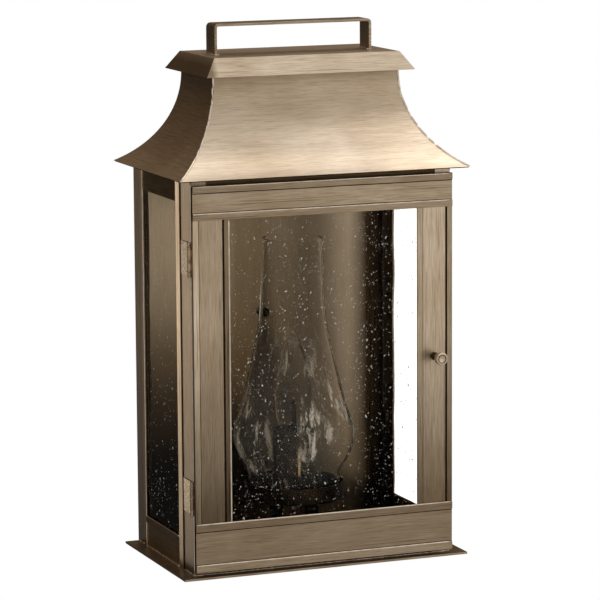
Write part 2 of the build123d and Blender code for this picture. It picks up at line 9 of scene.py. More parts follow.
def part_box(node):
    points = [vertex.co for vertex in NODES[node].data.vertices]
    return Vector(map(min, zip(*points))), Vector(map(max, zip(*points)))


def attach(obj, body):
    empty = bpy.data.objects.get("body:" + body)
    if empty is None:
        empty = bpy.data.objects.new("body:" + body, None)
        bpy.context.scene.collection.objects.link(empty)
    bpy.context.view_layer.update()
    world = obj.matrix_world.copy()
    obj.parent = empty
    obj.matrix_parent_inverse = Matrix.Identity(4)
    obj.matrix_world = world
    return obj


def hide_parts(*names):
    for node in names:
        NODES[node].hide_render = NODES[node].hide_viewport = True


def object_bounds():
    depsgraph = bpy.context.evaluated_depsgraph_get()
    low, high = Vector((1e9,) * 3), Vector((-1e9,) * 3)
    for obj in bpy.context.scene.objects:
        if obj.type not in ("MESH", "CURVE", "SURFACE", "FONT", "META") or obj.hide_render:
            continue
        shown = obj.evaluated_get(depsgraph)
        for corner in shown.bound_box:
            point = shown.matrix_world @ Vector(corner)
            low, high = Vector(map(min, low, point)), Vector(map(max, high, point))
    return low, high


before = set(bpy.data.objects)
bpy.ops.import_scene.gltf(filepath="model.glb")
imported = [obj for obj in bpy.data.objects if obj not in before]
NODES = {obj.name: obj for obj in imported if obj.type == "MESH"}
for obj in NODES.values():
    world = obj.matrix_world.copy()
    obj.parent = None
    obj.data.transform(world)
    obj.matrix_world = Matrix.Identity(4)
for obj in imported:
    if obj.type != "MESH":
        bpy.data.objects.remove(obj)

cad_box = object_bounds()
MM = 0.001


# ---------- camera, light and stage ----------
CAMERA_AT = Vector((-1.134, -2.9736, 0.5784))       # metres, in the part's frame
YAW, PITCH, ROLL = math.radians(21.64), math.radians(9.10), math.radians(-0.38)
LENS, SENSOR = 201.5, 36.0
WARM = (1.0, 0.88, 0.73)                             # light that has come off a wall
SKY = ((0.0, 0.12), (0.40, 0.30), (0.50, 0.62), (0.62, 0.66), (0.80, 0.66), (1.0, 0.80))    # (height, level)
THROUGH_GLASS = 0.45                                # extra white for what is seen through glass
FLOOR_DROP, FLOOR_RADIUS = 0.45, 30
BLACK, WHITE = (0, 0, 0), (1, 1, 1)


def make_camera():
    forward = Vector((math.sin(YAW) * math.cos(PITCH), math.cos(YAW) * math.cos(PITCH), -math.sin(PITCH)))
    right = Vector((math.cos(YAW), -math.sin(YAW), 0))
    up = right.cross(forward)
    right, up = (math.cos(ROLL) * right + math.sin(ROLL) * up,
                 math.cos(ROLL) * up - math.sin(ROLL) * right)
    data = bpy.data.cameras.new("camera")
    data.lens, data.sensor_width = LENS, SENSOR
    camera = bpy.data.objects.new("camera", data)
    bpy.context.scene.collection.objects.link(camera)
    camera.matrix_world = Matrix((
        (right.x, up.x, -forward.x, CAMERA_AT.x),
        (right.y, up.y, -forward.y, CAMERA_AT.y),
        (right.z, up.z, -forward.z, CAMERA_AT.z),
        (0, 0, 0, 1)))
    bpy.context.scene.camera = camera


def area_light(name, place, target, size, energy, colour=(1, 1, 1)):
    """A soft box facing its target; one straight above its target keeps its sides along X and Y."""
    data = bpy.data.lights.new(name, "AREA")
    data.shape, data.size, data.size_y = "RECTANGLE", size[0], size[1]
    data.energy, data.color = energy, colour
    light = bpy.data.objects.new(name, data)
    bpy.context.scene.collection.objects.link(light)
    light.visible_camera = light.visible_transmission = False
    light.location = place
    if place[:2] != target[:2]:
        light.rotation_euler = (Vector(target) - Vector(place)).to_track_quat("-Z", "Y").to_euler()
    return light


def light_only(light, *labels):
    """Keeps a light to the named nodes."""
    lit = bpy.data.collections.new(f"{light.name}_lit")
    light.light_linking.receiver_collection = lit
    for label in labels:
        lit.objects.link(NODES[label])


def math_node(tree, operation, a, b):
    node = tree.nodes.new("ShaderNodeMath")
    node.operation = operation
    for socket, value in zip(node.inputs, (a, b)):
        if isinstance(value, (int, float)):
            socket.default_value = value
        else:
            tree.links.new(value, socket)
    return node.outputs[0]


def seen_directly(tree):
    """1 for a ray from the camera, straight or only through glass, and 0 for light and reflections."""
    path = tree.nodes.new("ShaderNodeLightPath")
    either = math_node(tree, "MAXIMUM", path.outputs["Is Camera Ray"], path.outputs["Is Transmission Ray"])
    bounced = math_node(tree, "ADD", path.outputs["Glossy Depth"], path.outputs["Diffuse Depth"])
    return math_node(tree, "MULTIPLY", either, math_node(tree, "LESS_THAN", bounced, 0.5))


def white_backdrop(tree, shader, glow, output):
    """Ends a tree with shader for light and reflections and white for the camera: a little over
    white through glass, which dims it again. glow and output are the kinds of node to make."""
    path = tree.nodes.new("ShaderNodeLightPath")
    extra = math_node(tree, "MULTIPLY", path.outputs["Is Transmission Ray"], THROUGH_GLASS)
    white = tree.nodes.new(glow)
    white.inputs["Color"].default_value = (*WHITE, 1)
    tree.links.new(math_node(tree, "ADD", extra, 1.0), white.inputs["Strength"])
    mix = tree.nodes.new("ShaderNodeMixShader")
    tree.links.new(seen_directly(tree), mix.inputs[0])
    tree.links.new(shader.outputs[0], mix.inputs[1])
    tree.links.new(white.outputs[0], mix.inputs[2])
    tree.links.new(mix.outputs[0], tree.nodes.new(output).inputs["Surface"])


def make_world():
    """Studio light: a soft gradient, brightest overhead, dimmer to the left, below and behind the wall."""
    world = bpy.data.worlds.new("studio")
    bpy.context.scene.world = world
    world.use_nodes = True
    tree = world.node_tree
    tree.nodes.clear()
    where = tree.nodes.new("ShaderNodeTexCoord")
    split = tree.nodes.new("ShaderNodeSeparateXYZ")
    tree.links.new(where.outputs["Generated"], split.inputs[0])
    ramp = tree.nodes.new("ShaderNodeValToRGB")
    while len(ramp.color_ramp.elements) < len(SKY):
        ramp.color_ramp.elements.new(0.5)
    for element, (place, level) in zip(ramp.color_ramp.elements, SKY):
        element.position, element.color = place, (level, level ** 1.06, level ** 1.14, 1)
    tree.links.new(to_range(tree, split.outputs["Z"], 0, 1, -1, 1), ramp.inputs[0])
    side = to_range(tree, split.outputs["X"], 0.55, 1.0, -1, 0.4)
    behind = to_range(tree, split.outputs["Y"], 1.0, 0.16, 0.25, 0.75)
    studio = tree.nodes.new("ShaderNodeBackground")
    warm = ramp_between(tree, behind, (1, 0.72, 0.46), WHITE, 0.16, 1.0)
    tree.links.new(multiply(tree, ramp.outputs[0], warm), studio.inputs["Color"])
    tree.links.new(math_node(tree, "MULTIPLY", side, behind), studio.inputs["Strength"])
    white_backdrop(tree, studio, "ShaderNodeBackground", "ShaderNodeOutputWorld")


def make_floor():
    """A pale round floor below the lantern, which hangs on a wall that isn't shown."""
    mesh = bpy.data.meshes.new("floor")
    shape = bmesh.new()
    bmesh.ops.create_circle(shape, cap_ends=True, segments=96, radius=FLOOR_RADIUS)
    shape.to_mesh(mesh)
    shape.free()
    floor = bpy.data.objects.new("floor", mesh)
    bpy.context.scene.collection.objects.link(floor)
    floor.location.z = cad_box[0][2] - FLOOR_DROP
    material = bpy.data.materials.new("pale_floor")
    material.use_nodes = True
    tree = material.node_tree
    tree.nodes.clear()
    matte = tree.nodes.new("ShaderNodeBsdfDiffuse")
    front = to_range(tree, position(tree, "Y"), 0.75, 0.10, -0.6, 0.3)     # shaded behind the wall
    tree.links.new(ramp_between(tree, front, BLACK, (1, 0.99, 0.97), 0.0, 1.0), matte.inputs["Color"])
    white_backdrop(tree, matte, "ShaderNodeEmission", "ShaderNodeOutputMaterial")
    mesh.materials.append(material)


# ---------- materials ----------
def new_material(name):
    material = bpy.data.materials.new(name)
    material.use_nodes = True
    tree = material.node_tree
    shader = next(n for n in tree.nodes if n.type == "BSDF_PRINCIPLED")
    return material, tree, shader


def stretched(tree, scale, detail=4.0, roughness=0.55):
    """Noise on the part's own coordinates, with its own frequency per metre along each axis."""
    where = tree.nodes.new("ShaderNodeTexCoord")
    mapping = tree.nodes.new("ShaderNodeMapping")
    mapping.inputs["Scale"].default_value = scale
    tree.links.new(where.outputs["Object"], mapping.inputs["Vector"])
    texture = tree.nodes.new("ShaderNodeTexNoise")
    texture.inputs["Scale"].default_value = 1.0
    texture.inputs["Detail"].default_value = detail
    texture.inputs["Roughness"].default_value = roughness
    tree.links.new(mapping.outputs[0], texture.inputs["Vector"])
    return texture.outputs["Fac"]


def ramp_between(tree, source, low, high, start=0.3, end=0.7):
    ramp = tree.nodes.new("ShaderNodeValToRGB")
    ramp.color_ramp.elements[0].position, ramp.color_ramp.elements[0].color = start, (*low, 1)
    ramp.color_ramp.elements[1].position, ramp.color_ramp.elements[1].color = end, (*high, 1)
    tree.links.new(source, ramp.inputs[0])
    return ramp.outputs[0]


def multiply(tree, a, b, factor=1.0):
    mix = tree.nodes.new("ShaderNodeMix")
    mix.data_type, mix.blend_type = "RGBA", "MULTIPLY"
    mix.inputs["Factor"].default_value = factor
    tree.links.new(a, mix.inputs[6])
    tree.links.new(b, mix.inputs[7])
    return mix.outputs[2]


def to_range(tree, source, low, high, start=0.3, end=0.7):
    node = tree.nodes.new("ShaderNodeMapRange")
    node.inputs["From Min"].default_value, node.inputs["From Max"].default_value = start, end
    node.inputs["To Min"].default_value, node.inputs["To Max"].default_value = low, high
    tree.links.new(source, node.inputs["Value"])
    return node.outputs[0]


def position(tree, axis):
    where = tree.nodes.new("ShaderNodeTexCoord")
    split = tree.nodes.new("ShaderNodeSeparateXYZ")
    tree.links.new(where.outputs["Object"], split.inputs[0])
    return split.outputs[axis]


bpy.context.scene.view_settings.view_transform = "Standard"
make_camera()
make_world()
make_floor()
area_light("overhead", (0.7, 0.45, 1.9), (0.7, 0.45, 0.2), (2.4, 1.6), 11.5)
area_light("front_right", (1.7, -2.9, 0.35), (0, -0.1, 0.05), (1.8, 1.8), 5)
area_light("front_left", (-2.6, -1.6, 0.7), (0, -0.1, 0.1), (0.8, 1.6), 5)

light_only(area_light("left_edge", (-0.62, 1.2, -0.17), (0, -0.1, -0.02), (0.5, 0.8), 1.6, WARM),
           "front_post_left", "hinge_leaf_body_lower", "hinge_leaf_body_upper")
light_only(area_light("rear_edge", (-0.62, 1.2, -0.22), (0, -0.1, -0.02), (0.5, 0.7), 0.36, WARM),
           "rear_post_left")
light_only(area_light("roof_glint", (0.44, -0.42, 0.70), (0.10, -0.14, 0.24), (0.3, 0.3), 0.31),
           "roof_front")


LONG, FINE, COARSE = 34.0, 3400.0, 1300.0            # brush lines: per metre along and across
RUN, BROAD, SCRATCH = 9.0, 220.0, 950.0             # streaks and scratches: the same
PATCH = (14, 14, 14)                                # patches of patina per metre
BRUSH_DEPTH = 0.12 * MM
GRAIN = {"X": 0, "Y": 1, "Z": 2}


def along_grain(axis, across, along=LONG):
    scale = [across, across, across]
    scale[GRAIN[axis]] = along
    return tuple(scale)


def brushed_brass(name, axis, light=(0.84, 0.69, 0.52), dark=(0.62, 0.50, 0.365), rough=(0.33, 0.39),
                  bump=0.25, painted_shading=(), painted_light_bands=(), scratched=True, contrast=1.0):
    """Antiqued brass, brushed along one axis, with patches of patina. Each entry of the painted shading
    is (level, (axis, start, end), ...): painted shade (painted light above 1) takes the tone to level from
    start to end.
    Each entry of the painted light bands is (axis, start, end, ((place, level), ...)): strips toned apart by
    painted light and shade."""
    material, tree, shader = new_material(name)
    coarse = stretched(tree, along_grain(axis, COARSE), 3.0)
    fine = stretched(tree, along_grain(axis, FINE, LONG * 2), 2.0)
    broad = stretched(tree, along_grain(axis, BROAD, RUN), 4.0)
    patch = stretched(tree, PATCH, 3.0, 0.5)
    colour = ramp_between(tree, coarse, dark, light, 0.30, 0.62)
    for layer, tone, start, end in ((broad, (0.92, 0.91, 0.89), 0.36, 0.60),
                                    (patch, (0.86, 0.83, 0.79), 0.38, 0.60),
                                    (fine, (0.68, 0.65, 0.60), 0.30, 0.50)):
        colour = multiply(tree, colour, ramp_between(tree, layer, tone, WHITE, start, end), contrast)
    if scratched:
        scratch = stretched(tree, along_grain(axis, SCRATCH, RUN), 1.0)
        colour = multiply(tree, colour, ramp_between(tree, scratch, (0.45, 0.40, 0.34), WHITE, 0.27, 0.33))
    # painted light and shade: hems and fields made lighter or darker by how they face the light
    for band_axis, start, end, stops in painted_light_bands:
        ramp = tree.nodes.new("ShaderNodeValToRGB")
        ramp.color_ramp.interpolation = "CONSTANT"
        while len(ramp.color_ramp.elements) < len(stops):
            ramp.color_ramp.elements.new(0.5)
        for element, (place, level) in zip(ramp.color_ramp.elements, stops):
            element.position = max(0.0, (place - start) / (end - start))
            element.color = (level, level ** 1.08, level ** 1.2, 1)
        tree.links.new(to_range(tree, position(tree, band_axis), 0, 1, start, end), ramp.inputs[0])
        colour = multiply(tree, colour, ramp.outputs[0])
    # painted shade, and painted light where level is over 1, across each span
    for level, *ranges in painted_shading:
        amount = None
        for shading_axis, start, end in ranges:
            part = to_range(tree, position(tree, shading_axis), 0, 1, start, end)
            amount = part if amount is None else math_node(tree, "MULTIPLY", amount, part)
        tint = tuple(level ** k for k in (1.0, 1.10, 1.28))
        colour = multiply(tree, colour, ramp_between(tree, amount, WHITE, tint, 0.0, 1.0))
    tree.links.new(colour, shader.inputs["Base Color"])
    shader.inputs["Metallic"].default_value = 1.0
    tree.links.new(to_range(tree, coarse, rough[1], rough[0]), shader.inputs["Roughness"])
    lines = tree.nodes.new("ShaderNodeBump")
    lines.inputs["Strength"].default_value = bump
    lines.inputs["Distance"].default_value = BRUSH_DEPTH
    tree.links.new(math_node(tree, "ADD", coarse, fine), lines.inputs["Height"])
    tree.links.new(lines.outputs[0], shader.inputs["Normal"])
    return material


def plain_metal(name, light, dark, rough, scale=60):
    """Metal in two mingled tones; scale is their patches per metre."""
    material, tree, shader = new_material(name)
    patch = stretched(tree, (scale, scale, scale), 5.0)
    tree.links.new(ramp_between(tree, patch, dark, light), shader.inputs["Base Color"])
    shader.inputs["Metallic"].default_value = 1.0
    tree.links.new(to_range(tree, patch, rough + 0.1, rough - 0.05), shader.inputs["Roughness"])
    return material


def painted(name, light, dark, rough):
    """Paint or moulded plastic, finely mottled."""
    material, tree, shader = new_material(name)
    patch = stretched(tree, (180, 180, 180), 4.0)
    tree.links.new(ramp_between(tree, patch, dark, light), shader.inputs["Base Color"])
    tree.links.new(to_range(tree, patch, rough - 0.06, rough + 0.08), shader.inputs["Roughness"])
    return material


def glass(name, tint, ior=1.46):
    """Clear glass with a faint, slightly cloudy tint."""
    material, tree, shader = new_material(name)
    cloud = stretched(tree, (9, 9, 5), 2.0)
    cloudy = tuple(k * 0.97 for k in tint)
    tree.links.new(ramp_between(tree, cloud, cloudy, tint), shader.inputs["Base Color"])
    shader.inputs["Roughness"].default_value = 0.0
    shader.inputs["IOR"].default_value = ior
    shader.inputs["Transmission Weight"].default_value = 1.0
    return material


HIGHLIGHT_HAZE = 0.03                                         # faint painted highlight between the streaks
HIGHLIGHT_RISE, HIGHLIGHT_FALL = 0.025, 0.07                  # metres over which the painted highlight comes and goes


def painted_highlight_glass(name, ior, low_z, high_z):
    """Clear blown glass with pale, streaky painted highlights between two heights."""
    material, tree, shader = new_material(name)
    streaks = ramp_between(tree, stretched(tree, (150, 150, 24), 6.0, 0.7), BLACK, WHITE, 0.52, 0.60)
    patches = ramp_between(tree, stretched(tree, (34, 34, 20), 1.0), BLACK, WHITE, 0.51, 0.60)
    height = position(tree, "Z")
    rising = to_range(tree, height, 0, 1, low_z, low_z + HIGHLIGHT_RISE)
    falling = to_range(tree, height, 1, 0, high_z - HIGHLIGHT_FALL, high_z)
    # painted highlight: pale streaks and a faint haze where the glass would glint
    highlight_marks = math_node(tree, "ADD", math_node(tree, "MULTIPLY", streaks, patches), HIGHLIGHT_HAZE)
    painted_highlight = math_node(tree, "MULTIPLY", highlight_marks, math_node(tree, "MULTIPLY", rising, falling))
    tree.links.new(ramp_between(tree, painted_highlight, (0.99, 0.99, 0.985), (1.0, 0.92, 0.79), 0.0, 0.06),
                   shader.inputs["Base Color"])
    shader.inputs["IOR"].default_value = ior
    tree.links.new(to_range(tree, painted_highlight, 1.0, 0.2, 0, 0.8), shader.inputs["Transmission Weight"])
    tree.links.new(to_range(tree, painted_highlight, 0.0, 0.30, 0, 1), shader.inputs["Roughness"])
    return material


def seed_material():
    """Trapped bubbles: glossy specks painted pale, as painted glints of light caught in them."""
    material, tree, shader = new_material("seed_bubbles")
    cloud = stretched(tree, (300, 300, 300), 2.0)
    tree.links.new(ramp_between(tree, cloud, (0.62, 0.58, 0.50), (1.0, 0.97, 0.91)),
                   shader.inputs["Base Color"])
    shader.inputs["Roughness"].default_value = 0.18
    return material


CAP_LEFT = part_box("chimney_cap")[0].x
PANEL_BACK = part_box("back_panel")[1].y
# the side of the back panel that faces the lamp
INNER = ("Y", PANEL_BACK - 0.2 * MM, PANEL_BACK - 0.5 * MM)
REAR_LEFT, REAR_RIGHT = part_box("rear_post_left")[0].x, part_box("rear_post_right")[1].x
FLOOR_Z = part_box("base_plate")[1].z
DOOR_LEFT, DOOR_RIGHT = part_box("door_stile_left"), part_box("door_stile_right")
TOP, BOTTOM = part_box("door_top_rail"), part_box("door_bottom_rail")
FRONT_POST, REAR_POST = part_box("front_post_left"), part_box("rear_post_left")
STILE_HEM, TOP_HEM, BOTTOM_HEM = 5.4 * MM, 6.2 * MM, 7.3 * MM
FRONT_HEM, REAR_HEM, RAIL_HEM = 11 * MM, 5.5 * MM, 6 * MM
FRONT_TURN, REAR_TURN = 28 * MM, 15 * MM            # where a post's tone of painted light and shade changes next to its hem
# painted shade: the rear posts' brass is a darker copy
REAR_LIGHT, REAR_DARK = (0.52, 0.40, 0.28), (0.32, 0.235, 0.155)


def shaded_to_floor(level):
    """Painted shade: darker towards the floor, down to level there."""
    return (level, ("Z", 0.07, FLOOR_Z + 20 * MM))


def hem_painted_light(box, axis, first, last, levels):
    """Painted light and shade on a sheet's low hem, field and high hem along one axis, a tone for each."""
    low, high = getattr(box[0], axis.lower()), getattr(box[1], axis.lower())
    return (axis, low, high, ((low, levels[0]), (low + first, levels[1]), (high - last, levels[2])))


def corner_shade(level, x, inward):
    """A stripe of painted shade down a rear post's corner at x; inward is 1 or -1."""
    return (level, ("X", x + inward * 1 * MM, x + inward * 3 * MM))


BRASS = {
    # painted shade: the upright brass darker towards the floor
    "upright": brushed_brass("brass_upright", "Z", painted_shading=[shaded_to_floor(0.34)]),
    # painted light and shade: door hems and fields toned by how they face the light, the stiles darker
    # towards the floor
    "stile_left": brushed_brass("brass_stile_left", "Z", painted_shading=[shaded_to_floor(0.17)], painted_light_bands=[
        hem_painted_light(DOOR_LEFT, "X", STILE_HEM, STILE_HEM, (1.18, 0.80, 0.42))]),
    "stile_right": brushed_brass("brass_stile_right", "Z", painted_shading=[shaded_to_floor(0.25)], painted_light_bands=[
        hem_painted_light(DOOR_RIGHT, "X", STILE_HEM, STILE_HEM, (0.80, 1.0, 0.68))]),
    "rail_top": brushed_brass("brass_top_rail", "X", painted_light_bands=[
        hem_painted_light(TOP, "Z", TOP_HEM, TOP_HEM, (0.60, 0.70, 0.52))]),
    "rail_bottom": brushed_brass("brass_bottom_rail", "X", painted_light_bands=[
        hem_painted_light(BOTTOM, "Z", BOTTOM_HEM, BOTTOM_HEM, (0.66, 0.53, 0.42))]),
    "handle": brushed_brass("brass_handle", "X", light=(0.60, 0.48, 0.35), dark=(0.22, 0.165, 0.105)),
    "sheet": brushed_brass("brass_floor_sheet", "X", light=(0.58, 0.46, 0.33), dark=(0.22, 0.16, 0.10)),
    # painted shadow: the front header and sill, in the shade of the eave and the door, are near-black
    "header_front": brushed_brass("brass_front_header", "X",
                                  light=(0.12, 0.080, 0.042), dark=(0.05, 0.032, 0.016)),
    # painted highlight on the left front post's hem, and painted shade towards the floor on both front posts
    "front_post": brushed_brass("brass_front_post", "Z", painted_shading=[shaded_to_floor(0.38)], painted_light_bands=[
        hem_painted_light(FRONT_POST, "Y", FRONT_TURN, FRONT_HEM, (0.50, 0.50, 1.10))]),
    "front_post_right": brushed_brass("brass_front_post_right", "Z", painted_shading=[shaded_to_floor(0.38)]),
    # painted shade: darker rear posts, with a painted highlight on the left one's hem and painted shade at
    # their corners and towards the floor
    "rear_post": brushed_brass("brass_rear_post", "Z", light=REAR_LIGHT, dark=REAR_DARK,
                               painted_shading=[shaded_to_floor(0.26), corner_shade(0.18, REAR_LEFT, 1)], painted_light_bands=[
        hem_painted_light(REAR_POST, "Y", REAR_HEM, REAR_TURN, (1.0, 0.66, 0.66))]),
    "rear_post_right": brushed_brass("brass_rear_post_right", "Z", light=REAR_LIGHT, dark=REAR_DARK,
                                     painted_shading=[shaded_to_floor(0.36), corner_shade(0.18, REAR_RIGHT, -1)]),
    # painted shade: the side rails and side headers are darker copies of the brass, the headers darkest under
    # the eave
    "side_rail": brushed_brass("brass_side_rail", "Y", light=(0.46, 0.31, 0.17), dark=(0.26, 0.17, 0.09)),
    "header": brushed_brass("brass_header", "Y", light=(0.40, 0.25, 0.095), dark=(0.20, 0.12, 0.04)),
    # painted shade: the front and back roof panels darker towards the top and towards the left
    "roof_x": brushed_brass("brass_roof_front", "X", light=(0.94, 0.79, 0.625), dark=(0.82, 0.68, 0.525),
                            rough=(0.34, 0.37), bump=0.12, scratched=False,
                            painted_shading=[(0.52, ("Z", 0.235, 0.297)), (0.92, ("X", 0.08, -0.10))]),
    # painted shade: the side roof panels darker towards the top
    "roof_y": brushed_brass("brass_roof_side", "Y", light=(0.95, 0.76, 0.56), dark=(0.62, 0.47, 0.32),
                            scratched=False, painted_shading=[(0.42, ("Z", 0.22, 0.297))]),
    # painted shade along the cap's left edge
    "cap": brushed_brass("brass_cap", "X", light=(0.90, 0.75, 0.58), dark=(0.66, 0.53, 0.39), painted_shading=[
        (0.42, ("X", CAP_LEFT + 12 * MM, CAP_LEFT + 6 * MM))]),
    # painted shade and painted reflection on the back panel's inner face: darker towards the bottom, a
    # near-black strip at the right, bright and dark vertical bands across it
    "inside": brushed_brass("brass_inside", "Z", light=(0.70, 0.55, 0.375), dark=(0.63, 0.49, 0.33),
                            rough=(0.28, 0.34), bump=0.05, contrast=0.4, scratched=False, painted_shading=[
        (0.30, ("Z", 0.16, -0.14)), (0.09, ("X", 0.090, 0.109), INNER), (1.4, ("X", 0.050, 0.078), INNER),
        (0.60, ("X", 0.055, 0.00), INNER), (1.9, ("X", -0.025, -0.05), INNER),
        (0.40, ("Z", 0.12, -0.02), ("X", -0.025, -0.05), INNER),
        (0.04, ("Z", 0.07, -0.09), ("X", -0.070, -0.085), INNER)]),
    # near-black brass for the clips and for the parts inside the lantern and under its roof and cap
    "dark": plain_metal("brass_near_black", (0.06, 0.042, 0.025), (0.015, 0.010, 0.005), 0.42),
}
HINGE = plain_metal("hinge_brass", (0.70, 0.57, 0.42), (0.06, 0.042, 0.025), 0.34, 800)
# painted shade: near-black bars laid in creases and grooves where shade falls
CREASE_SHADE = plain_metal("painted_crease_shade", (0.040, 0.025, 0.013), (0.012, 0.007, 0.003), 0.6, 400)
# painted highlight: bright bars along rounded edges where they catch the light
EDGE_HIGHLIGHT = plain_metal("painted_highlight_brass", (1.0, 0.90, 0.76), (0.70, 0.57, 0.43), 0.32, 120)
NODE_MATERIALS = {
    "back_panel": BRASS["inside"], "back_pan": BRASS["sheet"], "base_plate": BRASS["sheet"],
    "wire_bushing": painted("bushing_phenolic", (0.035, 0.032, 0.03), (0.015, 0.014, 0.013), 0.45),
    "hinge_leaf_body_lower": HINGE, "hinge_leaf_body_upper": HINGE,
    "roof_front": BRASS["roof_x"], "roof_back": BRASS["roof_x"], "roof_left": BRASS["roof_y"],
    "roof_right": BRASS["roof_y"], "roof_deck": BRASS["dark"], "chimney_cap": BRASS["cap"],
    "cap_webs": BRASS["dark"], "carry_handle": BRASS["handle"], "front_header": BRASS["header_front"],
    "front_sill": BRASS["header_front"], "door_top_rail": BRASS["rail_top"],
    "door_bottom_rail": BRASS["rail_bottom"], "door_stile_left": BRASS["stile_left"],
    "door_stile_right": BRASS["stile_right"], "front_post_left": BRASS["front_post"],
    "front_post_right": BRASS["front_post_right"], "rear_post_left": BRASS["rear_post"],
    "rear_post_right": BRASS["rear_post_right"], "side_rail_left": BRASS["side_rail"],
    "side_rail_right": BRASS["side_rail"], "side_header_left": BRASS["header"],
    "side_header_right": BRASS["header"], "lamp_bracket": BRASS["dark"], "chimney_gallery": BRASS["dark"],
    "socket_shell": BRASS["dark"], "cap_nuts": BRASS["dark"],
    "socket_insulator": painted("socket_phenolic", (0.04, 0.035, 0.03), (0.015, 0.013, 0.012), 0.4),
    "screw_shell": plain_metal("thread_brass", (0.72, 0.56, 0.30), (0.45, 0.33, 0.16), 0.25),
    "ground_screw": painted("ground_green", (0.06, 0.26, 0.10), (0.03, 0.15, 0.06), 0.4),
}
ZINC = plain_metal("zinc_plate", (0.62, 0.62, 0.60), (0.42, 0.42, 0.41), 0.35)
for zinc_node in ("mounting_crossbar", "mounting_studs", "lamp_nuts", "lamp_nipple"):
    NODE_MATERIALS[zinc_node] = ZINC
NODE_MATERIALS["centre_contact"] = NODE_MATERIALS["screw_shell"]
for label in NODES:
    if label not in NODE_MATERIALS:
        clips = "clips" in label or label == "latch_bushing"
        NODE_MATERIALS[label] = BRASS["dark"] if clips else BRASS["upright"]

ROOF_PANELS = ("roof_front", "roof_back", "roof_left", "roof_right")
EDGE = 0.22 * MM                                    # rounding of sheet edges
MERGE = 0.0005 * MM                                 # joins the corners that a mesh's faces share
for label, node in NODES.items():
    node.data.materials.clear()
    node.data.materials.append(NODE_MATERIALS[label])
    if label in ROOF_PANELS:                         # thin curved sheets, already smooth
        continue
    weld = node.modifiers.new("weld", "WELD")
    weld.merge_threshold = MERGE
    bevel = node.modifiers.new("edges", "BEVEL")
    bevel.width, bevel.segments, bevel.limit_method = EDGE, 2, "ANGLE"
    bevel.angle_limit = math.radians(40)
    weighted = node.modifiers.new("shading", "WEIGHTED_NORMAL")
    weighted.weight, weighted.keep_sharp = 50, False


# ---------- mesh helpers ----------
def finish_piece(mesh, name, material, body, replaced=()):
    """Puts a mesh in the scene as a piece that rides a body."""
    for face in mesh.polygons:
        face.use_smooth = True
    mesh.materials.append(material)
    piece = bpy.data.objects.new(name, mesh)
    bpy.context.scene.collection.objects.link(piece)
    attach(piece, body)
    if replaced:
        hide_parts(*replaced)


def to_mesh(shape, name):
    """The mesh of a bmesh that is finished with."""
    mesh = bpy.data.meshes.new(name)
    shape.to_mesh(mesh)
    shape.free()
    return mesh


def smooth_profile(points, steps):
    """A Catmull-Rom curve through (radius, height) points."""
    ends = [points[0]] + list(points) + [points[-1]]
    curve = []
    for a, b, c, d in zip(ends, ends[1:], ends[2:], ends[3:]):
        for n in range(steps):
            t = n / steps
            curve.append(tuple(0.5 * (2 * b[k] + (c[k] - a[k]) * t
                                      + (2 * a[k] - 5 * b[k] + 4 * c[k] - d[k]) * t * t
                                      + (3 * b[k] - a[k] - 3 * c[k] + d[k]) * t ** 3) for k in (0, 1)))
    return curve + [tuple(points[-1])]


def lathe(name, profile, centre, segments=96, closed=True, wobble=0.0, wobble_scale=(40, 40, 14)):
    """A mesh turned about a vertical axis from an outline of (radius, height); closed joins its ends."""
    shape = bmesh.new()
    rings = []
    for radius, high in profile:
        if radius < 1e-6:
            rings.append([shape.verts.new((centre[0], centre[1], high))])
            continue
        ring = []
        for n in range(segments):
            angle = 2 * math.pi * n / segments
            out = Vector((math.cos(angle), math.sin(angle), 0))
            spot = Vector((centre[0], centre[1], high)) + out * radius
            if wobble:
                scaled = Vector(spot[k] * wobble_scale[k] for k in range(3))
                spot += out * (noise.noise(scaled) - 0.25) * wobble
            ring.append(shape.verts.new(spot))
        rings.append(ring)
    pairs = list(zip(rings, rings[1:])) + ([(rings[-1], rings[0])] if closed else [])
    for a, b in pairs:
        for n in range(segments):
            m = (n + 1) % segments
            corners = [a[n % len(a)], a[m % len(a)], b[m % len(b)], b[n % len(b)]]
            corners = [v for i, v in enumerate(corners) if v not in corners[:i]]
            if len(corners) > 2:
                shape.faces.new(corners)
    bmesh.ops.recalc_face_normals(shape, faces=shape.faces)
    return to_mesh(shape, name)


# ---------- seeded glass panes ----------
SEEDED = glass("seeded_glass", (0.985, 0.985, 0.975), ior=1.09)
SEEDS = seed_material()


